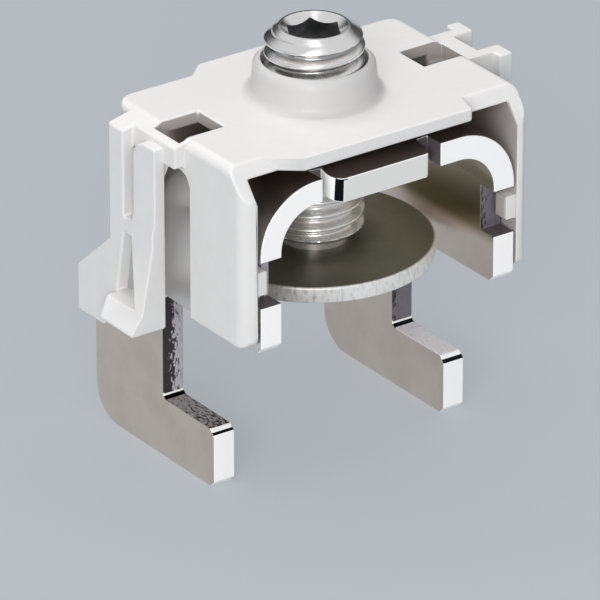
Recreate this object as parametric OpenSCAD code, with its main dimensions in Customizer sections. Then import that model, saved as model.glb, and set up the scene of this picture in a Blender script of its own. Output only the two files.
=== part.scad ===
// Busbar brace terminal: a bent steel brace that hooks under a busbar, a screw
// with a captive pressure disc, and a moulded cover with a latch arm and a rail.
// Millimetres. The origin is on the screw axis, level with the hook faces that
// bear on the busbar. +Z is up along the screw, the open mouth faces -Y.

/* [Brace] */
// Thickness of the brace sheet
sheet_t = 3; // [2:0.1:4]
// Clear width between the two side plates
inner_w = 30.5; // [29.5:0.5:40]
// Height of the mouth that takes the busbar and the conductor
mouth_h = 13.8; // [10:0.2:18]
// Height of the lower hooks
hook_h = 7.6; // [5:0.2:12]
// Reach of the hooks in front of the screw axis
hook_front = 5.3; // [3:0.1:9]
// Distance from the screw axis back to the throat of the mouth
throat_back = 5.25; // [3:0.05:8]
// Reach of the upper jaws in front of the screw axis
jaw_front = 15; // [12:0.2:17]
// Distance from the screw axis back to the rear edge of the legs
leg_back = 19.4; // [16:0.2:24]
// Height of the bridge's underside above the mouth
bridge_rise = 17.3; // [15:0.1:20]
// Distance from the screw axis back to the rear edge of the bridge
bridge_back = 9; // [8:0.2:10]
// Inner radius of the two bends
bend_r = 5; // [3:0.2:6]
// Radius of the lower rear corners
heel_r = 4.5; // [2:0.1:6]
// Chamfer on the corners of hooks and jaws
corner_c = 0.8; // [0.3:0.1:1.5]
// Depth of the snap notches in the front edges
notch_d = 2.6; // [1:0.1:3]
// Height of the snap notches
notch_h = 5.8; // [4:0.1:7]
// Width of the tab in the bridge's front edge
tab_w = 13.8; // [10:0.2:15]
// Sideways place of the tab's centre
tab_x = -1; // [-2:0.1:2]
// Width of the relief cuts beside the tab
relief_w = 1.5; // [1:0.1:2]
// Depth of the relief cuts beside the tab
relief_d = 2.6; // [1:0.1:4]
// Drop of the tab's front face below the bridge
tab_drop = 0.9; // [0:0.1:1.5]

/* [Screw and disc] */
// Outer diameter of the thread
thread_d = 12; // [10:0.5:13]
// Length of the threaded shank
thread_l = 26; // [22:0.2:30]
// Width across flats of the hexagon socket
socket_af = 6; // [5:0.5:7]
// Depth of the hexagon socket
socket_depth = 7.5; // [5:0.5:10]
// Diameter of the tip that carries the disc
tip_d = 8.4; // [7:0.1:9]
// Length of the bare tip above the disc
tip_l = 1.2; // [1:0.1:4]
// Diameter of the pressure disc
disc_d = 28.8; // [22:0.2:29]
// Thickness of the pressure disc
disc_t = 2; // [1.5:0.1:3]
// Height of the disc's underside above the hooks, as shown
disc_lift = 16.5; // [15:0.1:20]
// Radial running clearance of the screw in the brace and of the tip in the disc
run_c = 0.05; // [0.03:0.01:0.1]

/* [Cover] */
// Wall thickness of the cover
wall_t = 2; // [1.4:0.1:2.6]
// Thickness of the cover's top plate
plate_t = 1.7; // [1.2:0.1:2.5]
// Gap between the bridge and the top plate
roof_gap = 1.6; // [1:0.1:3]
// Gap between the cover's walls and the brace
side_gap = 0.35; // [0.2:0.05:0.6]
// Rounding of the long top edges
edge_r = 1.2; // [0.6:0.1:1.6]
// Half width of the lip over the front opening
lip_half_w = 12; // [9:0.2:14]
// Height of the boss round the screw above the top plate
boss_h = 4.2; // [3:0.1:6]
// Distance from the screw axis back to the rear edge of the top plate
plate_back = 11.7; // [11:0.1:13]
// Length of the two rectangular openings in the top plate, across the cover
port_w = 6.2; // [4.5:0.1:7]
// Width of the two rectangular openings in the top plate, front to back
port_d = 5.2; // [4.5:0.1:6]

/* [Latch and rail] */
// Thickness of the latch arm
arm_t = 1.8; // [1.4:0.1:2.2]
// Clear space between the left-hand wall and the latch arm
arm_gap = 1.2; // [0.8:0.1:2]
// Distance from the screw axis back to the latch arm's front post
arm_y = -0.65; // [-1.5:0.05:0.5]
// Width of the latch arm's front post
post_w = 4.55; // [3.6:0.05:5]
// Width of the slit between the two posts
slit_w = 1.45; // [1:0.05:2]
// Width of the latch arm's rear post
rear_post_w = 3; // [2:0.1:4]
// Outward sweep of the latch arm's lower lip
lip_sweep = 3; // [1:0.1:4]
// Reach of the rail's ribs beyond the right-hand wall
rail_reach = 5.6; // [4.6:0.1:6.5]
// Width of the rail from rib to rib
rail_w = 8.2; // [7:0.1:9]

/* [Hidden] */
$fn = 96;
over = 1;

// Brace
inner_half = inner_w / 2;
outer_half = inner_half + sheet_t;
bridge_z = mouth_h + bridge_rise;
bridge_top = bridge_z + sheet_t;
notch_rise = 6;
notch_low = mouth_h + notch_rise;
throat_r = 0.8;
flare_drop = 0.6;
flare_rise = 8;
flare_low = mouth_h - flare_drop;
flare_high = mouth_h + flare_rise;
collar_t = 1.4;
collar_r = thread_d / 2 + collar_t;
collar_h = 2;
tab_lap = 0.5;
tab_left_r = 2;
tab_right_r = 0.6;

// Screw and disc
disc_top = disc_lift + disc_t;
thread_low = disc_top + tip_l;
screw_top = thread_low + thread_l;
thread_c = 1.2;
thread_end_c = 0.8;
crown_in = 1.75;
crown_r = thread_d / 2 - crown_in;
socket_turn = 63.5;
sink_in = 0.25;
sink_d = 1.2;
sink_r = crown_r - sink_in;
rivet_c = 0.8;
disc_c = 0.25;

// Cover
wall_in = outer_half + side_gap;
wall_out = wall_in + wall_t;
plate_low = bridge_top + roof_gap;
plate_top = plate_low + plate_t;
cover_front = jaw_front;
skirt_gap = 1.05;
skirt_low = mouth_h + skirt_gap;
skirt_r = 1.5;
wall_front_flat = 0.2;
wall_front_r = wall_t - wall_front_flat;
rear_corner_r = 2.5;
shoulder_y = 3.3;
shoulder_z = 4;
wall_inset = 1.5;
wall_back = plate_back - wall_inset;
lip_slant_left = 4.2;
lip_slant_right = 1;
tail_half_w = 7;
tail_slope = 2.5;
tail_d = 2.25;
tail_back = plate_back + tail_d;
boss_base_t = 1.6;
boss_top_t = 0.95;
boss_bore_c = 0.35;
boss_base_r = thread_d / 2 + boss_base_t;
boss_top_r = thread_d / 2 + boss_top_t;
boss_bore_r = thread_d / 2 + boss_bore_c;
boss_fillet = 1;
boss_edge = 0.6;
boss_lean = (boss_base_r - boss_top_r - boss_edge / 2) / (boss_h - boss_edge);
boss_waist_r = boss_base_r - boss_lean * boss_fillet;
port_overhang = 0.1;
port_x = wall_out + port_overhang - port_w / 2;
port_y = 0.4;
port_drop = 2.6;
nib_gap = 0.3;
nib_inset = 1.8;
nib_front = 0.2;
nib_rise = 1.6;
nib_h = 3;

// Latch arm, on the left-hand side
arm_in = wall_out + arm_gap;
arm_out = arm_in + arm_t;
arm_drop = 0.6;
arm_top = plate_top - arm_drop;
post_drop = 1.4;
post_top = plate_top - post_drop;
post_step = 0.35;
post_run = 1;
post_r = 2.6;
slit_y = arm_y + post_w;
rear_y = slit_y + slit_w;
arm_back = rear_y + rear_post_w;
slot_w = 3.3;
slot_y = arm_y - slot_w;
slot_drop = 4.1;
slot_top = plate_top - slot_drop;
slot_r = 1.9;
web_set = 0.3;
web_h = 2.4;
web_rate = web_h / arm_gap;
rim_lap = 0.2;
rim_front = 0.9;
rim_rise = 0.75;
rim_low = slot_top + rim_rise;
bar_drop = 12.1;
bar_h = 1.9;
bar_high = plate_top - bar_drop;
bar_low = bar_high - bar_h;
bar_lap = 0.5;
arm_h = 24.2;
arm_low = arm_top - arm_h;
sill_h = 2.5;
sill_high = arm_low + sill_h;
sill_lap = 1.5;
sill_out = arm_out + lip_sweep;
sill_edge = 0.5;
sway_out = arm_out + lip_sweep / 2;
foot_w = 1.8;
slope_drop = 0.5;
slope_sink = 0.1;
slope_high = plate_top - slope_sink;
slope_low = arm_top - slope_drop;
slope_in = wall_out - edge_r;
slope_rate = (slope_high - slope_low) / (arm_out - slope_in);
wing_reach = 6.85;
wing_back = arm_back + wing_reach;
wing_h = 14;
wing_low = bar_low - wing_h;
wing_shoulder = 2;
wing_slope = 8;
wing_toe = 1.5;
wing_tuck = 1.4;

// Rail, on the right-hand side
rail_y = arm_y + post_w / 2;
rail_rise = 0.6;
rail_low = skirt_low + rail_rise;
rail_base = 2.6;
rib_t = 1.65;
rib_head = 1.9;
rib_lip = 1.4;

// Height of the slope beside the top plate, at a distance x from the screw axis
function slope_z(x) = slope_high - slope_rate * (x - slope_in);

// Turns an outline drawn in Y and Z into a slab from x0 to x1
module slab(x0, x1) {
  translate([x0, 0, 0])
    rotate([90, 0, 90])
      linear_extrude(x1 - x0)
        children();
}

// Turns an outline drawn in X and Z into a bar from y0 to y1
module bar(y0, y1) {
  translate([0, y1, 0])
    rotate([90, 0, 0])
      linear_extrude(y1 - y0)
        children();
}

// Block between two corners
module block(low, high) {
  translate(low)
    cube(high - low);
}

// Upright outline whose two top corners are round
module round_top(half_w, low, high, r) {
  translate([-half_w, low])
    square([2 * half_w, high - r - low]);
  translate([-half_w + r, low])
    square([2 * (half_w - r), high - low]);
  for (side = [-1, 1])
    translate([side * (half_w - r), high - r])
      circle(r);
}

// Section through both plates, both bends and the bridge
module brace_section() {
  difference() {
    round_top(outer_half, -hook_h, bridge_top, bend_r + sheet_t);
    round_top(inner_half, -hook_h - over, bridge_z, bend_r);
  }
}

// Space that the busbar and the conductor enter from the front
module mouth() {
  reach = jaw_front + throat_back + over;
  translate([throat_back - reach, throat_r])
    square([reach, mouth_h - 2 * throat_r]);
  translate([throat_back - reach, 0])
    square([reach - throat_r, mouth_h]);
  for (z = [throat_r, mouth_h - throat_r])
    translate([throat_back - throat_r, z])
      circle(throat_r);
}

// Side view of one plate, a hook below and a jaw above the mouth
module brace_side() {
  difference() {
    union() {
      polygon([
        [-hook_front, -hook_h + corner_c],
        [-hook_front + corner_c, -hook_h],
        [leg_back - heel_r, -hook_h],
        [leg_back, -hook_h + heel_r],
        [leg_back, flare_low],
        [bridge_back, flare_high],
        [bridge_back, bridge_top],
        [-jaw_front, bridge_top],
        [-jaw_front, mouth_h + corner_c],
        [-jaw_front + corner_c, mouth_h],
        [-hook_front, mouth_h],
      ]);
      translate([leg_back - heel_r, -hook_h + heel_r])
        circle(heel_r);
    }
    mouth();
    polygon([
      [-hook_front, -corner_c],
      [-hook_front + corner_c, 0],
      [-hook_front, 0],
    ]);
    translate([-jaw_front - over, notch_low])
      square([notch_d + over, notch_h]);
  }
}

// Plan of the tab, its left-hand corner rounder than the other
module tab_plan() {
  left = tab_x - tab_w / 2;
  right = tab_x + tab_w / 2;
  back = -jaw_front + relief_d + tab_lap;
  polygon([
    [left, -jaw_front + tab_left_r],
    [left + tab_left_r, -jaw_front],
    [right - tab_right_r, -jaw_front],
    [right, -jaw_front + tab_right_r],
    [right, back],
    [left, back],
  ]);
  translate([left + tab_left_r, -jaw_front + tab_left_r])
    circle(tab_left_r);
  translate([right - tab_right_r, -jaw_front + tab_right_r])
    circle(tab_right_r);
}

// Tab between the two relief cuts, bent down towards the front
module tab() {
  hinge_y = -jaw_front + relief_d;
  intersection() {
    slab(tab_x - tab_w / 2, tab_x + tab_w / 2)
      polygon([
        [-jaw_front, bridge_z - tab_drop],
        [hinge_y, bridge_z],
        [hinge_y + tab_lap, bridge_z],
        [hinge_y + tab_lap, bridge_top],
        [hinge_y, bridge_top],
        [-jaw_front, bridge_top - tab_drop],
      ]);
    translate([0, 0, bridge_z - tab_drop])
      linear_extrude(sheet_t + tab_drop)
        tab_plan();
  }
}

// Gap in the bridge's front edge that the tab stands in
module tab_gap() {
  half_w = tab_w / 2 + relief_w;
  block([tab_x - half_w, -jaw_front - over, bridge_z - over],
        [tab_x + half_w, -jaw_front + relief_d, bridge_top + over]);
}

module brace() {
  color([0.62, 0.60, 0.57])
  difference() {
    union() {
      difference() {
        intersection() {
          bar(-jaw_front, leg_back)
            brace_section();
          slab(-outer_half, outer_half)
            brace_side();
        }
        tab_gap();
      }
      tab();
      translate([0, 0, bridge_top - over])
        cylinder(r = collar_r, h = collar_h + over);
    }
    translate([0, 0, bridge_z - over])
      cylinder(r = thread_d / 2 + run_c, h = sheet_t + collar_h + 2 * over);
  }
}

module clamping_screw() {
  r = thread_d / 2;
  tip_r = tip_d / 2;
  color([0.78, 0.78, 0.80])
  difference() {
    rotate_extrude()
      polygon([
        [0, disc_lift],
        [tip_r + rivet_c, disc_lift],
        [tip_r, disc_lift + rivet_c],
        [tip_r, thread_low],
        [r - thread_end_c, thread_low],
        [r, thread_low + thread_end_c],
        [r, screw_top - thread_c],
        [crown_r, screw_top],
        [0, screw_top],
      ]);
    translate([0, 0, screw_top - socket_depth])
      rotate([0, 0, socket_turn])
        cylinder(d = socket_af / cos(30), h = socket_depth + over, $fn = 6);
    translate([0, 0, screw_top - sink_d])
      cylinder(r1 = sink_r - sink_d, r2 = sink_r + over, h = sink_d + over);
  }
}

module pressure_disc() {
  r = disc_d / 2;
  hole_r = tip_d / 2 + run_c;
  color([0.45, 0.44, 0.41])
  rotate_extrude()
    polygon([
      [hole_r + rivet_c, disc_lift],
      [r - disc_c, disc_lift],
      [r, disc_lift + disc_c],
      [r, disc_top - disc_c],
      [r - disc_c, disc_top],
      [hole_r, disc_top],
      [hole_r, disc_lift + rivet_c],
    ]);
}

// Section through the cover's walls and top plate
module cover_section() {
  difference() {
    round_top(wall_out, skirt_low, plate_top, edge_r);
    translate([-wall_in, skirt_low - over])
      square([2 * wall_in, plate_low - skirt_low + over]);
  }
}

// Side view of the cover, with the sloping shoulder at the front
module cover_side() {
  polygon([
    [-cover_front, skirt_low + skirt_r],
    [-cover_front + skirt_r, skirt_low],
    [slot_y, skirt_low],
    [wall_back, bar_low],
    [wall_back, plate_low],
    [plate_back, plate_low],
    [plate_back, plate_top],
    [-cover_front + shoulder_y, plate_top],
    [-cover_front, plate_top - shoulder_z],
  ]);
  translate([-cover_front + skirt_r, skirt_low + skirt_r])
    circle(skirt_r);
}

// Plan of the cover, with round corners
module cover_plan() {
  front_r = wall_front_r;
  rear_r = rear_corner_r;
  polygon([
    [-wall_out, -cover_front + front_r],
    [-wall_out + front_r, -cover_front],
    [wall_out - front_r, -cover_front],
    [wall_out, -cover_front + front_r],
    [wall_out, plate_back - rear_r],
    [wall_out - rear_r, plate_back],
    [-wall_out + rear_r, plate_back],
    [-wall_out, plate_back - rear_r],
  ]);
  for (side = [-1, 1]) {
    translate([side * (wall_out - front_r), -cover_front + front_r])
      circle(front_r);
    translate([side * (wall_out - rear_r), plate_back - rear_r])
      circle(rear_r);
  }
}

// Plan of the middle of the top plate, with the front lip and the rear tail
module plate_plan() {
  polygon([
    [-lip_half_w - lip_slant_left, -cover_front + shoulder_y],
    [-lip_half_w, -cover_front],
    [lip_half_w, -cover_front],
    [lip_half_w + lip_slant_right, -cover_front + shoulder_y],
    [tail_half_w + tail_slope, plate_back],
    [tail_half_w, tail_back],
    [-tail_half_w, tail_back],
    [-tail_half_w - tail_slope, plate_back],
  ]);
}

module cover_shell() {
  intersection() {
    bar(-cover_front, plate_back)
      cover_section();
    slab(-wall_out, wall_out)
      cover_side();
    translate([0, 0, skirt_low])
      linear_extrude(plate_top - skirt_low)
        cover_plan();
  }
  translate([0, 0, plate_low])
    linear_extrude(plate_t)
      plate_plan();
}

// Collar of the cover round the screw, filleted into the top plate
module boss() {
  rotate_extrude() {
    difference() {
      translate([0, plate_top - over])
        square([boss_waist_r + boss_fillet, boss_fillet + over]);
      translate([boss_waist_r + boss_fillet, plate_top + boss_fillet])
        circle(boss_fillet);
    }
    polygon([
      [0, plate_top],
      [boss_base_r, plate_top],
      [boss_top_r + boss_edge / 2, plate_top + boss_h - boss_edge],
      [boss_top_r - boss_edge / 2, plate_top + boss_h],
      [0, plate_top + boss_h],
    ]);
  }
}

// Front post, crossbar and sill of the latch arm, seen from the left
module arm_face() {
  translate([arm_y, bar_low])
    square([post_w - post_r, post_top - bar_low]);
  translate([arm_y, bar_low])
    square([post_w, post_top - post_r - bar_low]);
  translate([slit_y - post_r, post_top - post_r])
    circle(post_r);
  polygon([
    [arm_y, arm_low],
    [arm_y, bar_high],
    [rear_y + bar_lap, bar_high],
    [rear_y + bar_lap, bar_low],
    [slit_y, bar_low],
    [arm_y + foot_w, sill_high],
    [rear_y + sill_lap, sill_high],
    [rear_y + bar_lap, arm_low],
  ]);
}

// Section of the latch arm, which sweeps outwards to a lip at the bottom
module arm_section() {
  polygon([
    [-arm_in, arm_low],
    [-sill_out, arm_low],
    [-sill_out, arm_low + sill_edge],
    [-sway_out, sill_high],
    [-arm_out, bar_low],
    [-arm_out, bar_high],
    [-arm_out + post_step, bar_high + post_run],
    [-arm_out + post_step, post_top],
    [-arm_in, post_top],
  ]);
}

// Bar from the wall out to x, sloped off at the top
module sloped_bar(y0, y1, low, x) {
  bar(y0, y1)
    polygon([
      [-wall_in, low],
      [-x, low],
      [-x, slope_z(x)],
      [-slope_in, slope_high],
      [-wall_in, slope_high],
    ]);
}

// Flat wing below the rear post
module wing() {
  slab(-arm_out, -arm_in)
    polygon([
      [rear_y, bar_low],
      [rear_y, bar_high],
      [arm_back, bar_high],
      [arm_back, bar_low - wing_shoulder],
      [wing_back, bar_low - wing_slope],
      [wing_back, wing_low],
      [arm_back + wing_toe, wing_low],
      [rear_y, arm_low + wing_tuck],
      [rear_y, sill_high],
      [rear_y + sill_lap, sill_high],
    ]);
}

// Web in the corner between the rim and the front post
module web() {
  bar(arm_y + web_set, arm_y + arm_t)
    polygon([
      [-arm_in - rim_lap, rim_low + rim_lap],
      [-arm_in - rim_lap, rim_low - web_h - rim_lap * web_rate],
      [-wall_out + rim_lap / web_rate, rim_low + rim_lap],
    ]);
}

// Rim between the left-hand opening and the latch arm
module rim() {
  sloped_bar(port_y - port_d / 2 - rim_front, rear_y, rim_low, arm_in + rim_lap);
}

// Rear post that joins the latch arm to the cover
module rear_post() {
  sloped_bar(rear_y, arm_back, bar_low, arm_out);
}

module latch_arm() {
  intersection() {
    bar(arm_y, rear_y + sill_lap)
      arm_section();
    slab(-sill_out, -arm_in)
      arm_face();
  }
  rear_post();
  wing();
  web();
  rim();
}

// Rail with two headed ribs along the right-hand wall
module rail() {
  root = wall_t / 2;
  translate([wall_out - root, rail_y, rail_low])
    linear_extrude(arm_top - rail_low) {
      translate([0, -rail_w / 2])
        square([rail_base + root, rail_w]);
      for (side = [0, 1])
        mirror([0, side]) {
          translate([0, rail_w / 2 - rib_t])
            square([rail_reach + root, rib_t]);
          translate([rail_reach + root - rib_head, rail_w / 2 - rib_t])
            square([rib_head, rib_t + rib_lip]);
        }
    }
}

module ports() {
  for (side = [-1, 1])
    block([side * port_x - port_w / 2, port_y - port_d / 2, plate_top - port_drop],
          [side * port_x + port_w / 2, port_y + port_d / 2, plate_top + over]);
}

// Opening in the left-hand wall that frees the latch arm's front post
module arm_slot() {
  slab(-wall_out - over, -wall_in + side_gap / 2) {
    translate([slot_y, skirt_low - over])
      square([rear_y - slot_y, slot_top - slot_r - skirt_low + over]);
    translate([slot_y + slot_r, skirt_low])
      square([rear_y - slot_y - slot_r, slot_top - skirt_low]);
    translate([slot_y + slot_r, slot_top - slot_r])
      circle(slot_r);
  }
}

// Nibs that snap into the notches in the brace's front edges
module snap_nibs() {
  for (side = [0, 1])
    mirror([side, 0, 0])
      block([inner_half + nib_inset, -cover_front + nib_front, notch_low + nib_rise],
            [wall_in + wall_t / 2, -jaw_front + notch_d - nib_gap, notch_low + nib_rise + nib_h]);
}

module housing() {
  color([0.86, 0.86, 0.87])
  difference() {
    union() {
      difference() {
        cover_shell();
        arm_slot();
      }
      latch_arm();
      rail();
      boss();
      snap_nibs();
    }
    translate([0, 0, plate_low - over])
      cylinder(r = boss_bore_r, h = plate_t + boss_h + 2 * over);
    translate([0, 0, plate_low - over])
      cylinder(r = collar_r + side_gap, h = over + collar_h - roof_gap + nib_gap);
    ports();
  }
}

housing();
brace();
clamping_screw();
pressure_disc();
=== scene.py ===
import math
from itertools import permutations

import bmesh
import bpy
from mathutils import Matrix, Vector
from mathutils.kdtree import KDTree


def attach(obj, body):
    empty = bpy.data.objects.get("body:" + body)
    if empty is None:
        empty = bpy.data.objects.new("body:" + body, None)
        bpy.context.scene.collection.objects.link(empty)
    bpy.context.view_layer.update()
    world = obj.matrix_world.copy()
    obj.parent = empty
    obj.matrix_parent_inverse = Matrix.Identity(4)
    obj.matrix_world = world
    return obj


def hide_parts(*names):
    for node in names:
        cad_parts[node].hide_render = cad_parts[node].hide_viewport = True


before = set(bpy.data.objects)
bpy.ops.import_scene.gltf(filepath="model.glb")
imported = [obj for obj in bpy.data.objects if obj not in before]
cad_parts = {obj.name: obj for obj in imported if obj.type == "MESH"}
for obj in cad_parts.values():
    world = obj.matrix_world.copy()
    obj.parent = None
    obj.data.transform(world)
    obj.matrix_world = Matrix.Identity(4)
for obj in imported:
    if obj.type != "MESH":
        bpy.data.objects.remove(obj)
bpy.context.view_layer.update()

mm = 0.001
scene = bpy.context.scene
print("frame loaded:", sorted(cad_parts))


# small helpers for meshes

def addPiece(name, mesh, body, node, material):
    piece = bpy.data.objects.new(name, mesh)
    scene.collection.objects.link(piece)
    mesh.materials.clear()
    mesh.materials.append(material)
    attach(piece, body)
    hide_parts(node)
    return piece


def smoothByAngle(mesh, degrees):
    mesh.shade_smooth()
    mesh.set_sharp_from_angle(angle=math.radians(degrees))


def evaluatedMesh(holder):
    # plain mesh of what the holder's modifiers make
    depsgraph = bpy.context.evaluated_depsgraph_get()
    return bpy.data.meshes.new_from_object(holder.evaluated_get(depsgraph))


def roundAngles(count):
    return [math.tau * step / count for step in range(count)]


def addRing(bm, places):
    # verts round the screw axis, from radius, angle and height
    return [bm.verts.new((r * math.cos(a), r * math.sin(a), z)) for r, a, z in places]


def bridgeRings(bm, lower, upper):
    for step in range(len(lower)):
        after = (step + 1) % len(lower)
        bm.faces.new((lower[step], lower[after], upper[after], upper[step]))


# rounded edges of the cover and the brace

rounding = {
    "weld": 0.0005 * mm,
    "flat": 0.4,  # degrees between faces that are made one again
    "inLine": -0.82,  # dot product below which two edges run on
    "cusp": 0.79,  # dot product above which two edges close to a point
    "cuspRoom": 0.15 * mm,
    "sampleStep": 0.25 * mm,
    "reach": 2.4,  # bevel widths within which another edge counts
    "share": 0.42,  # of the free distance, the most that a bevel takes
    "normalWeight": 100,
}


def direction(edge, start):
    return (edge.other_vert(start).co - start.co).normalized()


def edgeAfter(edge, vert, beside):
    # the edge that runs on from this one, where only two meet nearly in line
    near = [e for e in beside[vert] if e is not edge]
    if len(near) == 1 and direction(edge, vert).dot(direction(near[0], vert)) < rounding["inLine"]:
        return near[0]
    return None


def smoothChains(edges, beside):
    # sharp edges strung together into smooth runs
    chains, done = [], set()
    for first in edges:
        if first in done:
            continue
        done.add(first)
        chain, waiting = [], [first]
        while waiting:
            edge = waiting.pop()
            chain.append(edge)
            for vert in edge.verts:
                after = edgeAfter(edge, vert, beside)
                if after is not None and after not in done:
                    done.add(after)
                    waiting.append(after)
        chains.append(chain)
    return chains


def edgeSamples(owner):
    # points along each edge, with the number of its chain
    samples = []
    for edge, index in owner.items():
        start, end = (vert.co for vert in edge.verts)
        steps = max(1, int(edge.calc_length() / rounding["sampleStep"]))
        samples += [(start.lerp(end, step / steps), index) for step in range(steps + 1)]
    return samples


def chainRoom(chains, beside, reach):
    # free distance beside each chain, small where two chains close to a cusp
    owner = {edge: index for index, chain in enumerate(chains) for edge in chain}
    touching = [set() for chain in chains]
    for edge, index in owner.items():
        touching[index].update(owner[e] for vert in edge.verts for e in beside[vert])
    samples = edgeSamples(owner)
    tree = KDTree(len(samples))
    for number, (place, index) in enumerate(samples):
        tree.insert(place, number)
    tree.balance()
    room = [math.inf] * len(chains)
    for place, index in samples:
        for hit, number, gap in tree.find_range(place, reach):
            if samples[number][1] not in touching[index]:
                room[index] = min(room[index], gap)
    for vert, near in beside.items():
        for one, other in permutations(near, 2):
            sameFace = set(one.link_faces) & set(other.link_faces)
            if sameFace and direction(one, vert).dot(direction(other, vert)) > rounding["cusp"]:
                room[owner[one]] = min(room[owner[one]], rounding["cuspRoom"])
    return room


def weighEdges(bm, width, angle):
    # bevel weight of each sharp edge, less where the faces beside it are narrow
    layer = bm.edges.layers.float.new("bevel_weight_edge")
    sharp = [e for e in bm.edges if e.is_manifold and e.calc_face_angle() > math.radians(angle)]
    beside = {}
    for edge in sharp:
        for vert in edge.verts:
            beside.setdefault(vert, []).append(edge)
    chains = smoothChains(sharp, beside)
    for chain, room in zip(chains, chainRoom(chains, beside, rounding["reach"] * width)):
        length = sum(edge.calc_length() for edge in chain)
        for edge in chain:
            edge[layer] = min(1.0, rounding["share"] * min(room, length) / width)


def weighedCopy(node, width, angle):
    # welded copy of a CAD node with flat faces made whole again, ready to bevel
    bm = bmesh.new()
    bm.from_mesh(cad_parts[node].data)
    bmesh.ops.remove_doubles(bm, verts=bm.verts, dist=rounding["weld"])
    flat = math.radians(rounding["flat"])
    bmesh.ops.dissolve_limit(bm, angle_limit=flat, verts=bm.verts, edges=bm.edges)
    weighEdges(bm, width, angle)
    mesh = bpy.data.meshes.new(node + "Merged")
    bm.to_mesh(mesh)
    bm.free()
    return mesh


def bevelled(node, width, segments, angle):
    # plain mesh with its edges rounded, and normals that keep flat faces flat
    mesh = weighedCopy(node, width, angle)
    mesh.shade_smooth()
    holder = bpy.data.objects.new("bevelHolder", mesh)
    scene.collection.objects.link(holder)
    bevel = holder.modifiers.new("roundEdges", "BEVEL")
    bevel.width = width
    bevel.segments = segments
    bevel.limit_method = "WEIGHT"
    bevel.use_clamp_overlap = False
    bevel.loop_slide = False
    level = holder.modifiers.new("levelFaces", "WEIGHTED_NORMAL")
    level.weight = rounding["normalWeight"]
    level.keep_sharp = True
    done = evaluatedMesh(holder)
    bpy.data.objects.remove(holder)
    return done


# small helpers for node trees

def feed(tree, node, inputs):
    # links what is a socket and sets what is a plain value
    for key, value in inputs.items():
        if isinstance(value, bpy.types.NodeSocket):
            tree.links.new(value, node.inputs[key])
        else:
            node.inputs[key].default_value = value


def addNode(tree, kind, inputs=None, **settings):
    node = tree.nodes.new(kind)
    for key, value in settings.items():
        setattr(node, key, value)
    feed(tree, node, inputs or {})
    return node


def calc(tree, operation, first, second=0.0, third=0.0):
    node = addNode(tree, "ShaderNodeMath", {0: first, 1: second, 2: third}, operation=operation)
    return node.outputs[0]


def ranged(tree, value, low, high, toLow=0.0, toHigh=1.0, smooth=True):
    node = addNode(tree, "ShaderNodeMapRange", {
        "Value": value, "From Min": low, "From Max": high, "To Min": toLow, "To Max": toHigh},
        interpolation_type="SMOOTHSTEP" if smooth else "LINEAR")
    return node.outputs["Result"]


def mixColour(tree, factor, first, second):
    # 0 is the factor, 6 and 7 are the colours, and output 2 is their mix
    node = addNode(tree, "ShaderNodeMix", {0: factor, 6: first, 7: second}, data_type="RGBA")
    return node.outputs[2]


def split(tree, vector):
    return addNode(tree, "ShaderNodeSeparateXYZ", {"Vector": vector}).outputs


def axisRadius(tree, at):
    # distance from the screw axis
    squares = [calc(tree, "MULTIPLY", at[axis], at[axis]) for axis in "XY"]
    return calc(tree, "SQRT", calc(tree, "ADD", *squares))


def newGroup(name, kind, inputs, outputs):
    group = bpy.data.node_groups.new(name, kind)
    for label, socketType, value in inputs:
        socket = group.interface.new_socket(name=label, in_out="INPUT", socket_type=socketType)
        if value is not None:
            socket.default_value = value
    for label, socketType in outputs:
        group.interface.new_socket(name=label, in_out="OUTPUT", socket_type=socketType)
    start = group.nodes.new("NodeGroupInput")
    end = group.nodes.new("NodeGroupOutput")
    return group, start, end


# shader groups that several finishes share

def makeGrainGroup():
    # fine grain: a height for bump and a slow mottle
    group, start, end = newGroup(
        "fineGrain", "ShaderNodeTree",
        [("Vector", "NodeSocketVector", None), ("Grain Scale", "NodeSocketFloat", 9000.0),
         ("Mottle Scale", "NodeSocketFloat", 320.0)],
        [("Height", "NodeSocketFloat"), ("Mottle", "NodeSocketFloat")])
    given = start.outputs
    grain = addNode(group, "ShaderNodeTexNoise", {
        "Vector": given["Vector"], "Scale": given["Grain Scale"], "Detail": 3.0, "Roughness": 0.6})
    mottle = addNode(group, "ShaderNodeTexNoise", {
        "Vector": given["Vector"], "Scale": given["Mottle Scale"], "Detail": 4.0, "Roughness": 0.55})
    feed(group, end, {"Height": grain.outputs["Fac"], "Mottle": mottle.outputs["Fac"]})
    return group


def makeStreakGroup():
    # streaks drawn out along one axis, as rolling and shearing leave them
    group, start, end = newGroup(
        "drawnStreaks", "ShaderNodeTree",
        [("Vector", "NodeSocketVector", None), ("Stretch", "NodeSocketVector", (1.0, 1.0, 1.0)),
         ("Scale", "NodeSocketFloat", 1500.0), ("Low", "NodeSocketFloat", 0.35),
         ("High", "NodeSocketFloat", 0.65)],
        [("Height", "NodeSocketFloat"), ("Mask", "NodeSocketFloat")])
    given = start.outputs
    stretched = addNode(group, "ShaderNodeVectorMath", {
        0: given["Vector"], 1: given["Stretch"]}, operation="MULTIPLY")
    noise = addNode(group, "ShaderNodeTexNoise", {
        "Vector": stretched.outputs[0], "Scale": given["Scale"], "Detail": 3.0, "Roughness": 0.6})
    mask = ranged(group, noise.outputs["Fac"], given["Low"], given["High"])
    feed(group, end, {"Height": noise.outputs["Fac"], "Mask": mask})
    return group


fineGrain = makeGrainGroup()
drawnStreaks = makeStreakGroup()


# parts of a finish, with their values from a piece's dictionary

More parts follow.
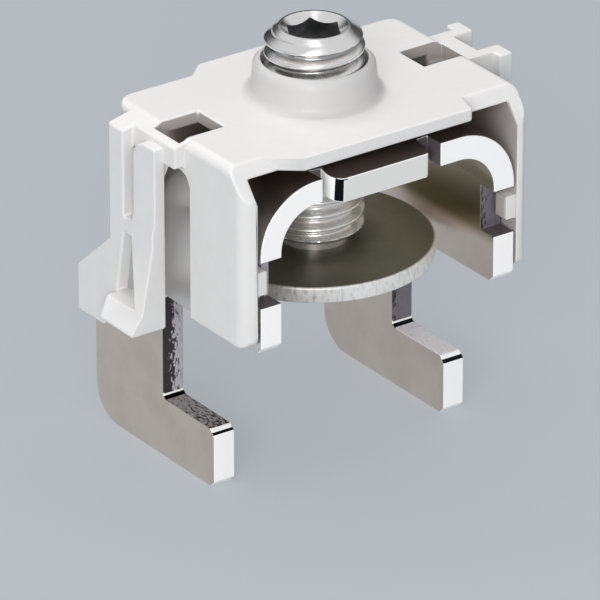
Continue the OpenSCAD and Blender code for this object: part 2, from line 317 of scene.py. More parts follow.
def newMaterial(name):
    material = bpy.data.materials.new(name)
    material.use_nodes = True
    tree = material.node_tree
    tree.nodes.clear()
    shader = addNode(tree, "ShaderNodeBsdfPrincipled")
    addNode(tree, "ShaderNodeOutputMaterial", {"Surface": shader.outputs["BSDF"]})
    place = addNode(tree, "ShaderNodeTexCoord")
    return material, tree, shader, place.outputs["Object"]


def addGrain(tree, place, piece):
    node = addNode(tree, "ShaderNodeGroup", {
        "Vector": place, "Grain Scale": piece["grainScale"], "Mottle Scale": piece["mottleScale"]},
        node_tree=fineGrain)
    return node.outputs


def addStreaks(tree, place, piece):
    low, high = piece["streakSpan"]
    node = addNode(tree, "ShaderNodeGroup", {
        "Vector": place, "Stretch": piece["streakStretch"], "Scale": piece["streakScale"],
        "Low": low, "High": high}, node_tree=drawnStreaks)
    return node.outputs


def addBump(tree, height, piece):
    node = addNode(tree, "ShaderNodeBump", {
        "Strength": piece["bump"], "Distance": piece["bumpDepth"], "Height": height})
    return node.outputs["Normal"]


# cover: one light grey moulding

cover = {
    "edgeWidth": 0.32 * mm,
    "edgeSegments": 3,
    "edgeAngle": 44,
    "hollowHalf": 18.9 * mm,
    "hollowFront": -14.9 * mm,
    "hollowTop": 36.6 * mm,
    "hollowCentre": Vector((0.0, 0.0, 22.0 * mm)),
    "portX": (14.3 * mm, 21.0 * mm),
    "portY": (-2.5 * mm, 3.3 * mm),
    "portZ": (33.0 * mm, 37.2 * mm),
    "portTop": 36.0 * mm,  # above it only the walls of a port are in shelter
    "portWall": 0.5,  # a wall's normal rises or falls by less than this
    "portShelter": 0.6,
    "frontY": (-15.0 * mm, -7.0 * mm),
    "frontShelter": 0.55,  # share of the dark that is left at the open ends
    "backY": (2.0 * mm, 10.0 * mm),
    "backShelter": 0.4,
    "bossFoot": (7.9 * mm, 8.9 * mm),
    "light": (0.71, 0.698, 0.69, 1.0),
    "shade": (0.685, 0.673, 0.665, 1.0),
    # painted shade: darker colour for the boss, standing in for how the light falls on it
    "boss": (0.555, 0.545, 0.54, 1.0),
    # painted shade for the inside of the hollow and the walls of the ports
    "paintedHollowShade": (0.21, 0.17, 0.155, 1.0),
    "grainScale": 9000.0,
    "mottleScale": 320.0,
    "mottleSpan": (0.3, 0.7),
    "rough": (0.42, 0.56),
    "bump": 0.05,
    "bumpDepth": 0.05 * mm,
    "ior": 1.5,
}


def markPaintedShade(mesh):
    # painted shade: 1 on faces that look into the hollow, and less on the walls of the ports
    shelter = mesh.attributes.new("shelter", "FLOAT", "FACE").data
    for face in mesh.polygons:
        at = face.center
        inHollow = (abs(at.x) < cover["hollowHalf"] and at.y > cover["hollowFront"]
                    and at.z < cover["hollowTop"])
        if inHollow and face.normal.dot(at - cover["hollowCentre"]) < 0:
            shelter[face.index].value = 1.0
        inPort = all(low < value < high for value, (low, high) in (
            (abs(at.x), cover["portX"]), (at.y, cover["portY"]), (at.z, cover["portZ"])))
        if inPort and (abs(face.normal.z) < cover["portWall"] or at.z < cover["portTop"]):
            shelter[face.index].value = cover["portShelter"]


def makeCoverMaterial():
    material, tree, shader, place = newMaterial("mouldedGrey")
    at = split(tree, place)
    grain = addGrain(tree, place, cover)
    mottle = ranged(tree, grain["Mottle"], *cover["mottleSpan"])
    colour = mixColour(tree, mottle, cover["light"], cover["shade"])
    # painted shade: the boss is coloured darker than the plate round it
    bossShadeMask = ranged(tree, axisRadius(tree, at), *cover["bossFoot"], 1.0, 0.0)
    colour = mixColour(tree, bossShadeMask, colour, cover["boss"])
    # painted shade, darkest in the middle of the hollow, away from its open ends
    shelter = addNode(tree, "ShaderNodeAttribute", attribute_name="shelter").outputs["Fac"]
    fromFront = ranged(tree, at["Y"], *cover["frontY"], cover["frontShelter"], 1.0)
    fromBack = ranged(tree, at["Y"], *cover["backY"], 1.0, cover["backShelter"])
    paintedHollowShade = calc(tree, "MULTIPLY", shelter, calc(tree, "MINIMUM", fromFront, fromBack))
    feed(tree, shader, {
        "Base Color": mixColour(tree, paintedHollowShade, colour, cover["paintedHollowShade"]),
        "Roughness": ranged(tree, grain["Mottle"], *cover["mottleSpan"], *cover["rough"]),
        "IOR": cover["ior"],
        "Normal": addBump(tree, grain["Height"], cover)})
    return material


def makeCover():
    mesh = bevelled("housing", cover["edgeWidth"], cover["edgeSegments"], cover["edgeAngle"])
    markPaintedShade(mesh)
    return addPiece("mouldedCover", mesh, "root", "housing", makeCoverMaterial())


coverPiece = makeCover()
print("cover made:", len(coverPiece.data.polygons), "faces")


# brace: bent steel sheet with bright cut edges

brace = {
    "edgeWidth": 0.16 * mm,
    "edgeSegments": 2,
    "edgeAngle": 30,
    "outerHalf": 18.25 * mm,
    "innerHalf": 15.25 * mm,
    "bendCentreX": 10.25 * mm,
    "bendCentreZ": 26.1 * mm,
    "throatY": 3.0 * mm,
    "throatBack": 5.0 * mm,
    "hookTip": -15.0 * mm,
    "mouthLow": -1.0 * mm,
    "mouthHigh": 15.0 * mm,
    "tipBrightZ": -0.42 * mm,
    "tipBrightY": -3.0 * mm,
    "tabSpan": (-8.0 * mm, 6.0 * mm),
    "tabFront": -14.2 * mm,
    "tabCorner": 2.2 * mm,
    "reliefBack": -13.0 * mm,
    "notchLow": 18.5 * mm,
    "notchBack": -13.5 * mm,
    "bridgeLow": 30.5 * mm,
    "middleX": (-1.0 * mm, 1.0 * mm),
    "besideZ": (9.0 * mm, 15.0 * mm),
    "coveredZ": (30.0 * mm, 33.0 * mm),
    "innerZ": (18.3 * mm, 20.3 * mm),
    "archZ": (21.5 * mm, 28.0 * mm),
    "tornLeft": 0.58,  # share of the thickness that is torn in a throat
    "tornRight": 0.12,
    "tornHookLeft": (-0.22, 0.3),  # at the heel and at the tip of a hook
    "tornHookRight": (-0.4, -0.3),
    "tornBorder": 0.08,
    "ragged": 1.7,
    "throatMark": 1.0,
    "hookMark": 0.5,
    "mouthSpan": (0.2, 0.4),  # values of a mark between which the finish fades in
    "throatSpan": (0.6, 0.9),
    "specks": (0.3, 0.1),
    "sheet": (0.80, 0.70, 0.62, 1.0),
    "sheetDark": (0.74, 0.64, 0.565, 1.0),
    # painted light: greyer, lighter tone of the sheet beside the cover
    "beside": (0.86, 0.845, 0.83, 1.0),
    # painted shade on the sheet under the cover
    "covered": (0.34, 0.275, 0.245, 1.0),
    # painted shade low inside the arch, and painted reflection high in it
    "inner": (0.31, 0.26, 0.16, 1.0),
    "archShadeAndReflection": (0.92, 0.885, 0.74, 1.0),
    # bare steel with a painted sheen: near white and hardly metallic, so the cut edges read as catching
    # the light
    "cut": (0.97, 0.965, 0.955, 1.0),
    "hookTopLeft": (0.40, 0.372, 0.36, 1.0),
    "hookTopRight": (0.98, 0.95, 0.98, 1.0),
    "throatLeft": (0.52, 0.48, 0.52, 1.0),
    "throatRight": (0.18, 0.16, 0.18, 1.0),
    "torn": (0.035, 0.028, 0.03, 1.0),
    # painted dark reflection on round corners
    "paintedDarkReflection": (0.012, 0.012, 0.014, 1.0),
    # painted shade for the relief cuts and the tops of the notches
    "relief": (0.10, 0.085, 0.09, 1.0),
    "tab": (0.74, 0.73, 0.71, 1.0),
    "grainScale": 5200.0,
    "mottleScale": 180.0,
    "mottleSpan": (0.35, 0.65),
    "streakStretch": (1.6, 0.6, 0.6),
    "streakScale": 2100.0,
    "streakSpan": (0.42, 0.62),
    "rough": 0.33,
    "tornRough": 0.35,
    "sheetMetallic": 1.0,
    "cutMetallic": 0.1,
    "mouthMetallic": 0.12,
    "bump": 0.14,
    "bumpDepth": 0.08 * mm,
    "streakBump": 5.0,
}

# least part of a normal along an axis for a face to count as looking that way
facing = {
    "sheet": 0.8,
    "square": 0.97,
    "edge": 0.85,  # on a rounded edge beside a square face
    "level": 0.1,  # less than this counts as none
    "tab": 0.9,
    "tabCorner": (0.7, 0.97),
    "relief": 0.8,
    "notch": 0.6,
    "throatCorner": (0.55, 0.97),  # from the first to the second
    "tipCorner": (0.55, 0.85),
}


def sheetNormal(point):
    # direction through the sheet at a point of the bent section
    x = abs(point.x)
    if x > brace["bendCentreX"] and point.z > brace["bendCentreZ"]:
        through = Vector((x - brace["bendCentreX"], 0.0, point.z - brace["bendCentreZ"])).normalized()
    elif point.z > brace["bendCentreZ"]:
        through = Vector((0.0, 0.0, 1.0))
    else:
        through = Vector((1.0, 0.0, 0.0))
    return Vector((math.copysign(through.x, point.x), 0.0, through.z))


def looksAlong(main, across):
    # squarely one way, or on a rounded edge beside such a face
    return main > facing["square"] or main > facing["edge"] and abs(across) < facing["level"]


def within(value, span):
    return span[0] < value < span[1]


def bridgeFinish(normal, at):
    # the tab in the front edge of the bridge, and the cuts beside it
    left, right = brace["tabSpan"]
    # painted dark reflection on the tab's rounded left corner
    if left < at.x < left + brace["tabCorner"] and within(-normal.y, facing["tabCorner"]):
        return "paintedDarkReflection", 1.0
    if left < at.x < right and at.y < brace["tabFront"] and -normal.y > facing["tab"]:
        return "tabFace", 1.0
    # painted shade in the relief cuts beside the tab
    besideTab = -normal.x > facing["relief"] and at.x > right
    if besideTab or -normal.y > facing["relief"] and at.y > brace["reliefBack"]:
        return "relief", 1.0
    return None


def notchFinish(normal, at):
    # the notches in the front edges of the legs, where the cover's nibs snap in
    # painted shade on the tops of the notches
    if normal.z > facing["notch"]:
        return "relief", 1.0
    if -normal.y > facing["notch"] and at.y > brace["notchBack"]:
        return "shear", brace["throatMark"]
    return None


def mouthFinish(normal, at):
    # throats, tops of the hooks, and painted dark reflections on their round corners
    inThroat = at.y > brace["throatY"]
    corner = facing["throatCorner"] if inThroat else facing["tipCorner"]
    if -normal.y > facing["level"] and within(normal.z, corner):
        return "paintedDarkReflection", 1.0
    if inThroat and looksAlong(-normal.y, normal.z):
        return "shear", brace["throatMark"]
    if looksAlong(abs(normal.z), normal.y):
        return "shear", brace["hookMark"]
    return None


def punchedFinish(normal, at):
    # finish of a punched face, by where it lies and how it faces
    if at.z > brace["bridgeLow"]:
        return bridgeFinish(normal, at)
    if at.z > brace["notchLow"]:
        return notchFinish(normal, at)
    if brace["mouthLow"] < at.z < brace["mouthHigh"]:
        return mouthFinish(normal, at)
    return None


def markPunchedFaces(mesh):
    # cutEdge marks what the punch cut, and the other marks give its finish
    names = ("cutEdge", "shear", "paintedDarkReflection", "relief", "tabFace", "covered", "inner")
    for name in names:
        mesh.attributes.new(name, "FLOAT", "FACE")
    marks = {name: mesh.attributes[name].data for name in names}
    for face in mesh.polygons:
        outward = face.normal.dot(sheetNormal(face.center))
        marks["covered"][face.index].value = max(outward, 0.0)
        marks["inner"][face.index].value = max(-outward, 0.0)
        if abs(outward) > facing["sheet"]:
            continue
        marks["cutEdge"][face.index].value = 1.0
        finish = punchedFinish(face.normal, face.center)
        if finish:
            name, value = finish
            marks[name][face.index].value = value


def markTornDepth(mesh):
    # above 0 where the punch tore the sheet: by depth in the throats, by length on the hooks
    torn = mesh.attributes.new("torn", "FLOAT", "POINT").data
    thick = brace["outerHalf"] - brace["innerHalf"]
    for vertex in mesh.vertices:
        at = vertex.co
        onLeft = at.x < 0
        out = brace["throatBack"] - at.y
        if out > at.z:
            heel, tip = brace["tornHookLeft"] if onLeft else brace["tornHookRight"]
            value = heel + (tip - heel) * out / (brace["throatBack"] - brace["hookTip"])
        elif onLeft:
            value = brace["tornLeft"] - (at.x + brace["outerHalf"]) / thick
        else:
            value = brace["tornRight"] - (at.x - brace["innerHalf"]) / thick
        torn[vertex.index].value = value


def makeBraceMaterial():
    material, tree, shader, place = newMaterial("platedSheet")
    at = split(tree, place)
    grain = addGrain(tree, place, brace)
    streak = addStreaks(tree, place, brace)

    def mark(name):
        return addNode(tree, "ShaderNodeAttribute", attribute_name=name).outputs["Fac"]

    def markAbove(name, heights):
        return calc(tree, "MULTIPLY", mark(name), ranged(tree, at["Z"], *heights))

    # sheet: greyer beside the cover with painted light, darker under it with painted shade, and up
    # inside the arch with painted shade and painted reflection
    mottle = ranged(tree, grain["Mottle"], *brace["mottleSpan"])
    sheet = mixColour(tree, mottle, brace["sheet"], brace["sheetDark"])
    sheet = mixColour(tree, markAbove("covered", brace["besideZ"]), sheet, brace["beside"])
    sheet = mixColour(tree, markAbove("covered", brace["coveredZ"]), sheet, brace["covered"])
    archShadeAndReflection = mixColour(tree, ranged(tree, at["Z"], *brace["archZ"]), brace["inner"], brace["archShadeAndReflection"])
    sheet = mixColour(tree, markAbove("inner", brace["innerZ"]), sheet, archShadeAndReflection)

    # mouth: a torn zone with a ragged border, on a ground that differs by side
    shear = mark("shear")
    inMouth = ranged(tree, shear, *brace["mouthSpan"])
    level = calc(tree, "SUBTRACT", mark("torn"), brace["ragged"] / 2)
    ragged = calc(tree, "MULTIPLY_ADD", streak["Height"], brace["ragged"], level)
    broken = calc(tree, "MULTIPLY", inMouth,
                  ranged(tree, ragged, -brace["tornBorder"], brace["tornBorder"]))
    onRight = ranged(tree, at["X"], *brace["middleX"])
    throat = mixColour(tree, onRight, brace["throatLeft"], brace["throatRight"])
    hookTop = mixColour(tree, onRight, brace["hookTopLeft"], brace["hookTopRight"])
    mouth = mixColour(tree, ranged(tree, shear, *brace["throatSpan"]), hookTop, throat)
    specks = calc(tree, "MULTIPLY", streak["Mask"], ranged(tree, onRight, 0.0, 1.0, *brace["specks"]))
    mouth = mixColour(tree, specks, mouth, brace["torn"])

    # cut faces: bare steel painted near white for the sheen of light they catch, apart from the tab,
    # the mouth, the reliefs in painted shade and the painted dark reflections on the corners
    cut = mixColour(tree, mark("tabFace"), brace["cut"], brace["tab"])
    cut = mixColour(tree, inMouth, cut, mouth)
    cut = mixColour(tree, broken, cut, brace["torn"])
    cut = mixColour(tree, mark("relief"), cut, brace["relief"])
    # painted highlight: the upper part of a hook's round tip stays bright, above the painted dark
    # reflection
    tipPaintedHighlight = calc(tree, "GREATER_THAN", at["Z"], brace["tipBrightZ"])
    tipPaintedHighlight = calc(tree, "MULTIPLY", tipPaintedHighlight, calc(tree, "LESS_THAN", at["Y"], brace["tipBrightY"]))
    tipPaintedHighlight = calc(tree, "MULTIPLY", tipPaintedHighlight, calc(tree, "LESS_THAN", at["Z"], brace["mouthHigh"]))
    paintedDarkReflection = calc(tree, "MULTIPLY", mark("paintedDarkReflection"), calc(tree, "SUBTRACT", 1.0, tipPaintedHighlight))
    cut = mixColour(tree, paintedDarkReflection, cut, brace["paintedDarkReflection"])

    isCut = mark("cutEdge")
    metallic = ranged(tree, isCut, 0.0, 1.0, brace["sheetMetallic"], brace["cutMetallic"])
    metallic = calc(tree, "MULTIPLY_ADD", inMouth, brace["mouthMetallic"], metallic)
    height = calc(tree, "MULTIPLY", streak["Height"], inMouth)
    height = calc(tree, "MULTIPLY_ADD", height, brace["streakBump"], grain["Height"])
    feed(tree, shader, {
        "Base Color": mixColour(tree, isCut, sheet, cut),
        "Roughness": calc(tree, "MULTIPLY_ADD", broken, brace["tornRough"], brace["rough"]),
        "Metallic": calc(tree, "MAXIMUM", metallic, paintedDarkReflection),
        "Normal": addBump(tree, height, brace)})
    return material


def makeBrace():
    mesh = bevelled("brace", brace["edgeWidth"], brace["edgeSegments"], brace["edgeAngle"])
    markPunchedFaces(mesh)
    markTornDepth(mesh)
    return addPiece("bentBrace", mesh, "root", "brace", makeBraceMaterial())


bracePiece = makeBrace()
print("brace made:", len(bracePiece.data.polygons), "faces")


# screw: a right-hand thread grown on a grid, with the crown and socket added by rings

screw = {
    "major": 5.97 * mm,
    "minor": 4.95 * mm,
    "pitch": 1.75 * mm,
    "phase": 0.723,
    "ridge": (0.14, 0.9),  # shares of the flank's height where root and crest begin
    "tipLow": 16.5 * mm,
    "tipRadius": 4.2 * mm,
    "rivet": 0.8 * mm,
    "threadLow": 19.7 * mm,
    "shoulder": 0.04 * mm,
    "endRadius": 5.2 * mm,
    "crownTop": 45.7 * mm,
    "crownRadius": 4.25 * mm,
    "crownDrop": 1.2 * mm,
    "endBlend": 0.2 * mm,
    "threadBlend": 0.25 * mm,
    "seam": 0.001 * mm,
    "socketFlats": 6.0 * mm,
    "socketDepth": 7.5 * mm,
    "socketPoint": 0.9 * mm,
    "socketTurn": 63.5,
    "sinkRadius": 4.0 * mm,
    "ringWeld": 0.02 * mm,
    "columns": 120,
    "rows": 420,
    "smoothAngle": 40,
    "rootMargin": 0.1 * mm,
    "crestMargin": 0.25 * mm,
    "crownBright": (1.5 * mm, 1.0 * mm),  # below the top
    "highZ": (33.0 * mm, 38.0 * mm),
    "socketInset": 0.3 * mm,
    "socketBelow": 1.02 * mm,
    "crest": (0.95, 0.94, 0.93, 1.0),
    # painted shade in the roots of the thread, deeper above the collar than below it
    "root": (0.50, 0.485, 0.47, 1.0),
    "paintedRootShadeLow": (0.84, 0.81, 0.79, 1.0),
    "socket": (0.66, 0.66, 0.665, 1.0),
    "grainScale": 4200.0,
    "mottleScale": 420.0,
    "mottleSpan": (0.3, 0.7),
    "rough": (0.14, 0.3),
    "metallic": (0.8, 1.0),
    "bump": 0.06,
    "bumpDepth": 0.05 * mm,
}

threadSizes = {
    "Major": screw["major"],
    "Minor": screw["minor"],
    "Pitch": screw["pitch"],
    "Phase": screw["phase"],
    "Ridge Root": screw["ridge"][0],
    "Ridge Crest": screw["ridge"][1],
    "Low": screw["tipLow"],
    "High": screw["crownTop"],
    "Thread Low": screw["threadLow"],
    "Shoulder": screw["shoulder"],
    "Tip Radius": screw["tipRadius"],
    "End Radius": screw["endRadius"],
    "Rivet": screw["rivet"],
    "Crown Radius": screw["crownRadius"],
    "Crown Drop": screw["crownDrop"],
    "End Blend": screw["endBlend"],
    "Thread Blend": screw["threadBlend"],
    "Seam": screw["seam"],
}
threadCounts = {"Columns": screw["columns"], "Rows": screw["rows"]}


def makeThreadTree():
    group, start, end = newGroup(
        "helicalThread", "GeometryNodeTree",
        [(label, "NodeSocketFloat", size) for label, size in threadSizes.items()]
        + [(label, "NodeSocketInt", count) for label, count in threadCounts.items()]
        + [("Material", "NodeSocketMaterial", None)],
        [("Geometry", "NodeSocketGeometry")])
    given = start.outputs
    grid = addNode(group, "GeometryNodeMeshGrid", {
        "Size X": 1.0, "Size Y": 1.0,
        "Vertices X": calc(group, "ADD", given["Columns"], 1.0),
        "Vertices Y": calc(group, "ADD", given["Rows"], 1.0)})
    at = split(group, addNode(group, "GeometryNodeInputPosition").outputs["Position"])
    turn = calc(group, "ADD", at["X"], 0.5)
    share = calc(group, "ADD", at["Y"], 0.5)
    z = ranged(group, share, 0.0, 1.0, given["Low"], given["High"], smooth=False)
    # ridge that climbs one pitch a turn
    climb = calc(group, "SUBTRACT", calc(group, "DIVIDE", z, given["Pitch"]), turn)
    wave = calc(group, "FRACT", calc(group, "ADD", climb, given["Phase"]))
    away = calc(group, "ABSOLUTE", calc(group, "MULTIPLY_ADD", wave, 2.0, -1.0))
    peak = calc(group, "SUBTRACT", 1.0, away)
    ridge = ranged(group, peak, given["Ridge Root"], given["Ridge Crest"])
    thread = ranged(group, ridge, 0.0, 1.0, given["Minor"], given["Major"], smooth=False)
    # turned outline that cuts the ridge off at tip and crown
    foot = calc(group, "SUBTRACT", given["Thread Low"], given["Shoulder"])
    pin = ranged(group, z, foot, given["Thread Low"], given["Tip Radius"], given["End Radius"],
                 smooth=False)
    above = calc(group, "MAXIMUM", calc(group, "SUBTRACT", z, given["Thread Low"]), 0.0)
    fromLow = calc(group, "SUBTRACT", z, given["Low"])
    swaged = calc(group, "MAXIMUM", calc(group, "SUBTRACT", given["Rivet"], fromLow), 0.0)
    tip = calc(group, "ADD", calc(group, "ADD", above, pin), swaged)
    narrower = calc(group, "SUBTRACT", given["Major"], given["Crown Radius"])
    steep = calc(group, "DIVIDE", narrower, given["Crown Drop"])
    fromHigh = calc(group, "SUBTRACT", given["High"], z)
    crown = calc(group, "MULTIPLY_ADD", fromHigh, steep, given["Crown Radius"])
    outline = calc(group, "SMOOTH_MIN", tip, crown, given["End Blend"])
    radius = calc(group, "SMOOTH_MIN", outline, thread, given["Thread Blend"])
    angle = calc(group, "MULTIPLY", turn, math.tau)
    place = addNode(group, "ShaderNodeCombineXYZ", {
        "X": calc(group, "MULTIPLY", radius, calc(group, "COSINE", angle)),
        "Y": calc(group, "MULTIPLY", radius, calc(group, "SINE", angle)), "Z": z})
    shaped = addNode(group, "GeometryNodeSetPosition", {
        "Geometry": grid.outputs["Mesh"], "Position": place.outputs["Vector"]})
    closed = addNode(group, "GeometryNodeMergeByDistance", {
        "Geometry": shaped.outputs["Geometry"], "Distance": given["Seam"]})
    real = addNode(group, "GeometryNodeRealizeInstances", {"Geometry": closed.outputs["Geometry"]})
    dressed = addNode(group, "GeometryNodeSetMaterial", {
        "Geometry": real.outputs["Geometry"], "Material": given["Material"]})
    feed(group, end, {"Geometry": dressed.outputs["Geometry"]})
    return group


def grownMesh(tree, values):
    # evaluates a tree on an empty mesh and hands back a plain mesh
    holder = bpy.data.objects.new("treeHolder", bpy.data.meshes.new("treeSeed"))
    scene.collection.objects.link(holder)
    modifier = holder.modifiers.new("tree", "NODES")
    modifier.node_group = tree
    for item in tree.interface.items_tree:
        if item.in_out == "INPUT":
            modifier[item.identifier] = values[item.name]
    mesh = evaluatedMesh(holder)
    holder.modifiers.remove(modifier)
    bpy.data.objects.remove(holder)
    return mesh


def hexRadius(angle):
    # distance from the axis to the hexagon's flats at an angle
    flat = math.tau / 6
    off = (angle - math.radians(screw["socketTurn"])) % flat - flat / 2
    return screw["socketFlats"] / 2 / math.cos(off)


def addCrownAndTip(mesh):
    bm = bmesh.new()
    bm.from_mesh(mesh)
    angles = roundAngles(screw["columns"])
    top = screw["crownTop"]
    sink = screw["sinkRadius"]
    socketEnd = top - screw["socketDepth"]
    socketHalf = top - screw["socketDepth"] / 2
    rings = [
        addRing(bm, [(screw["crownRadius"], a, top) for a in angles]),
        addRing(bm, [(sink, a, top) for a in angles]),
        addRing(bm, [(hexRadius(a), a, top - sink + hexRadius(a)) for a in angles]),
        addRing(bm, [(hexRadius(a), a, socketHalf) for a in angles]),
        addRing(bm, [(hexRadius(a), a, socketEnd) for a in angles]),
    ]
    for lower, upper in zip(rings, rings[1:]):
        bridgeRings(bm, lower, upper)
    point = bm.verts.new((0.0, 0.0, socketEnd - screw["socketPoint"]))
    end = bm.verts.new((0.0, 0.0, screw["tipLow"]))
    tipRing = addRing(bm, [(screw["tipRadius"] + screw["rivet"], a, screw["tipLow"]) for a in angles])
    for step in range(len(angles)):
        after = (step + 1) % len(angles)
        bm.faces.new((rings[-1][step], rings[-1][after], point))
        bm.faces.new((tipRing[after], tipRing[step], end))
    bmesh.ops.remove_doubles(bm, verts=bm.verts, dist=screw["ringWeld"])
    bmesh.ops.recalc_face_normals(bm, faces=bm.faces)
    bm.to_mesh(mesh)
    bm.free()


def makeScrewMaterial():
    material, tree, shader, place = newMaterial("brightThread")
    at = split(tree, place)
    grain = addGrain(tree, place, screw)
    radius = axisRadius(tree, at)
    top = screw["crownTop"]
    crownLow, crownHigh = (top - drop for drop in screw["crownBright"])
    # bright crests and crown, with painted shade in the roots, deeper above the collar than below it
    rootEnd = screw["minor"] - screw["rootMargin"]
    crestStart = screw["major"] - screw["crestMargin"]
    crest = ranged(tree, radius, rootEnd, crestStart)
    bright = calc(tree, "MAXIMUM", crest, ranged(tree, at["Z"], crownLow, crownHigh))
    high = ranged(tree, at["Z"], *screw["highZ"])
    root = mixColour(tree, high, screw["paintedRootShadeLow"], screw["root"])
    colour = mixColour(tree, bright, root, screw["crest"])
    nearAxis = calc(tree, "LESS_THAN", radius, screw["sinkRadius"] - screw["socketInset"])
    belowTop = calc(tree, "LESS_THAN", at["Z"], top - screw["socketBelow"])
    inSocket = calc(tree, "MULTIPLY", nearAxis, belowTop)
    feed(tree, shader, {
        "Base Color": mixColour(tree, inSocket, colour, screw["socket"]),
        "Roughness": ranged(tree, grain["Mottle"], *screw["mottleSpan"], *screw["rough"]),
        "Metallic": ranged(tree, high, 0.0, 1.0, *screw["metallic"]),
        "Normal": addBump(tree, grain["Height"], screw)})
    return material


def makeScrew():
    material = makeScrewMaterial()
    mesh = grownMesh(makeThreadTree(), {**threadSizes, **threadCounts, "Material": material})
    addCrownAndTip(mesh)
    smoothByAngle(mesh, screw["smoothAngle"])
    return addPiece("threadedScrew", mesh, "screw", "clamping_screw", material)


screwPiece = makeScrew()
print("screw made:", len(screwPiece.data.polygons), "faces")


# disc: a punched round plate with a rolled upper edge

disc = {
    "radius": 14.4 * mm,
    "hole": 4.25 * mm,
    "countersink": 0.8 * mm,
    "low": 16.5 * mm,
    "high": 18.5 * mm,
    "roll": 0.32 * mm,
    "rollSteps": 5,
    "rings": (7.0 * mm, 9.5 * mm, 12.0 * mm),
    "segments": 160,
    "smoothAngle": 30,
    "rimRolls": (1.2, 0.2),  # rolls in from the edge
    # painted light to the right of the face and painted shade round the screw
    "paintedLightSpan": (-10.0 * mm, 3.0 * mm),
    "faceMottle": (-0.12, 0.12),
    "contactShadeRing": (6.0 * mm, 9.5 * mm),
    "contactShadeDark": 0.55,
    # painted shade on the left of the rim
    "rimShadeSpan": (-12.0 * mm, -2.0 * mm),
    "rimShadeAndSpecks": 0.55,
    "rimSpecks": 0.3,
    "face": (0.15, 0.141, 0.115, 1.0),
    "facePaintedLight": (0.33, 0.31, 0.255, 1.0),
    "rim": (0.90, 0.88, 0.86, 1.0),
    "grainScale": 3600.0,
    "mottleScale": 260.0,
    "mottleSpan": (0.3, 0.7),
    "streakStretch": (1.0, 1.0, 0.4),
    "streakScale": 2200.0,
    "streakSpan": (0.45, 0.72),
    "rough": (0.55, 0.5),  # of the face and of the rim
    "metallic": (1.0, 0.6),
    "bump": 0.1,
    "bumpDepth": 0.06 * mm,
}


def lathe(profile, segments):
    bm = bmesh.new()
    angles = roundAngles(segments)
    rings = [addRing(bm, [(radius, a, z) for a in angles]) for radius, z in profile]
    for lower, upper in zip(rings, rings[1:] + rings[:1]):
        bridgeRings(bm, lower, upper)
    bmesh.ops.recalc_face_normals(bm, faces=bm.faces)
    mesh = bpy.data.meshes.new("turned")
    bm.to_mesh(mesh)
    bm.free()
    return mesh


def discProfile():
    # radius and height, outwards below and back inwards above
    low, high, roll = disc["low"], disc["high"], disc["roll"]
    points = [(disc["hole"] + disc["countersink"], low)]
    points += [(radius, low) for radius in disc["rings"]]
    for size, centre, first in ((roll / 2, low + roll / 2, -90), (roll, high - roll, 0)):
        for step in range(disc["rollSteps"] + 1):
            a = math.radians(first + 90 * step / disc["rollSteps"])
            points.append((disc["radius"] - size + size * math.cos(a), centre + size * math.sin(a)))
    points += [(radius, high) for radius in reversed(disc["rings"])]
    points += [(disc["hole"], high), (disc["hole"], low + disc["countersink"])]
    return points


def makeDiscMaterial():
    material, tree, shader, place = newMaterial("dullPlate")
    at = split(tree, place)
    grain = addGrain(tree, place, disc)
    streak = addStreaks(tree, place, disc)
    radius = axisRadius(tree, at)
    rimLow, rimHigh = (disc["radius"] - disc["roll"] * rolls for rolls in disc["rimRolls"])
    rim = ranged(tree, radius, rimLow, rimHigh)
    # face: lighter to the right with painted light, mottled, and darkened round the screw with painted
    # shade
    mottle = ranged(tree, grain["Mottle"], *disc["mottleSpan"], *disc["faceMottle"])
    paintedLightAndMottle = calc(tree, "ADD", ranged(tree, at["X"], *disc["paintedLightSpan"]), mottle)
    paintedContactShade = ranged(tree, radius, *disc["contactShadeRing"], disc["contactShadeDark"], 0.0)
    face = mixColour(tree, calc(tree, "SUBTRACT", paintedLightAndMottle, paintedContactShade), disc["face"], disc["facePaintedLight"])
    # rim: streaked, and darker to the left with painted shade
    rimShadeAndSpecks = ranged(tree, at["X"], *disc["rimShadeSpan"], disc["rimShadeAndSpecks"], 0.0)
    rimShadeAndSpecks = calc(tree, "MULTIPLY_ADD", streak["Mask"], disc["rimSpecks"], rimShadeAndSpecks)
    edge = mixColour(tree, rimShadeAndSpecks, disc["rim"], disc["face"])
    height = calc(tree, "MULTIPLY_ADD", streak["Height"], rim, grain["Height"])
    feed(tree, shader, {
        "Base Color": mixColour(tree, rim, face, edge),
        "Roughness": ranged(tree, rim, 0.0, 1.0, *disc["rough"]),
        "Metallic": ranged(tree, rim, 0.0, 1.0, *disc["metallic"]),
        "Normal": addBump(tree, height, disc)})
    return material


def makeDisc():
    mesh = lathe(discProfile(), disc["segments"])
    smoothByAngle(mesh, disc["smoothAngle"])
    return addPiece("punchedDisc", mesh, "disc", "pressure_disc", makeDiscMaterial())


discPiece = makeDisc()
print("disc made:", len(discPiece.data.polygons), "faces")


# floor, light and camera

studio = {
    "floorHalf": 3.0,
    "floorZ": -7.6 * mm,
    "floorColour": (0.22, 0.235, 0.245, 1.0),
    "floorRough": 0.9,
    "floorGlow": (0.279, 0.301, 0.322, 1.0),
    "floorGlowStrength": 1.0,
    "skyColour": (0.98, 0.985, 1.0, 1.0),
    "skyRise": (0.0, 0.6),
    "skyStrength": (0.40, 0.66),
    "clothSide": (0.58, 0.81, 0.0),  # direction from the part
    "clothSpan": (0.35, 0.75),
    "clothRise": (0.3, 0.7),
    "clothDark": 0.9,
    "target": Vector((0.0, 0.0, 14.4 * mm)),
}

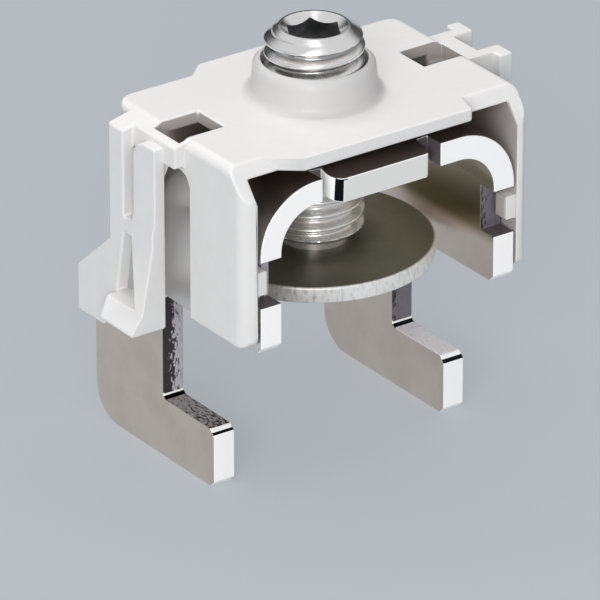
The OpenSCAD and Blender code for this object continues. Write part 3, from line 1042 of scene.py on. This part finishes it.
# metres and watts, and the one piece that a box lights if it doesn't light all
softboxes = {
    "topBox": {"place": (-0.11, -0.15, 0.85), "side": 0.22, "power": 0.3},
    "keyBox": {"place": (-0.58, -0.60, 0.33), "side": 0.5, "power": 5.1},
    "coverBox": {"place": (0.0, 0.36, 0.83), "side": 0.5, "power": 3.6, "only": coverPiece},
}


def makeFloor():
    half = studio["floorHalf"]
    corners = [(x, y, studio["floorZ"]) for x, y in (
        (-half, -half), (half, -half), (half, half), (-half, half))]
    mesh = bpy.data.meshes.new("paleFloor")
    mesh.from_pydata(corners, [], [(0, 1, 2, 3)])
    floor = bpy.data.objects.new("paleFloor", mesh)
    scene.collection.objects.link(floor)
    material = bpy.data.materials.new("paleFloor")
    material.use_nodes = True
    feed(material.node_tree, material.node_tree.nodes["Principled BSDF"], {
        "Base Color": studio["floorColour"],
        "Roughness": studio["floorRough"],
        "Emission Color": studio["floorGlow"],
        "Emission Strength": studio["floorGlowStrength"]})
    mesh.materials.append(material)


def addSoftbox(name, box):
    light = bpy.data.lights.new(name, "AREA")
    light.shape = "SQUARE"
    light.size = box["side"]
    light.energy = box["power"]
    lamp = bpy.data.objects.new(name, light)
    scene.collection.objects.link(lamp)
    lamp.location = box["place"]
    lamp.rotation_euler = (studio["target"] - lamp.location).to_track_quat("-Z", "Y").to_euler()
    if "only" in box:
        lit = bpy.data.collections.new(name + "Lit")
        lit.objects.link(box["only"])
        lamp.light_linking.receiver_collection = lit


def makeSky():
    world = bpy.data.worlds.new("softSky")
    scene.world = world
    world.use_nodes = True
    tree = world.node_tree
    towards = addNode(tree, "ShaderNodeTexCoord").outputs["Generated"]
    rise = split(tree, towards)["Z"]
    strength = ranged(tree, rise, *studio["skyRise"], *studio["skyStrength"])
    # dark cloth low behind the part, which bright metal shows at its edges
    behind = addNode(tree, "ShaderNodeVectorMath", {
        0: towards, 1: studio["clothSide"]}, operation="DOT_PRODUCT").outputs["Value"]
    cloth = calc(tree, "MULTIPLY", ranged(tree, behind, *studio["clothSpan"]),
                 ranged(tree, rise, *studio["clothRise"], studio["clothDark"], 0.0))
    strength = calc(tree, "MULTIPLY", strength, calc(tree, "SUBTRACT", 1.0, cloth))
    feed(tree, tree.nodes["Background"], {"Color": studio["skyColour"], "Strength": strength})


view = {
    "azimuth": -35.34,
    "elevation": 26.03,
    "distance": 976.0 * mm,
    "slideRight": -1.68 * mm,
    "slideUp": -4.03 * mm,
    "lens": 494.4,
    "sensor": 36.0,
    "near": 0.05,
    "far": 20.0,
}


def makeCamera():
    azimuth = math.radians(view["azimuth"])
    elevation = math.radians(view["elevation"])
    level = math.cos(elevation)
    back = Vector((math.sin(azimuth) * level, -math.cos(azimuth) * level, math.sin(elevation)))
    right = Vector((math.cos(azimuth), math.sin(azimuth), 0.0))
    up = back.cross(right)
    eye = studio["target"] + back * view["distance"] + right * view["slideRight"] + up * view["slideUp"]
    lens = bpy.data.cameras.new("photoView")
    lens.lens = view["lens"]
    lens.sensor_width = view["sensor"]
    lens.clip_start = view["near"]
    lens.clip_end = view["far"]
    camera = bpy.data.objects.new("photoView", lens)
    scene.collection.objects.link(camera)
    turn = Matrix((right, up, back)).transposed().to_4x4()
    camera.matrix_world = Matrix.Translation(eye) @ turn
    scene.camera = camera


makeFloor()
makeSky()
for name, box in softboxes.items():
    addSoftbox(name, box)
makeCamera()
scene.view_settings.view_transform = "Standard"
print("stage set")
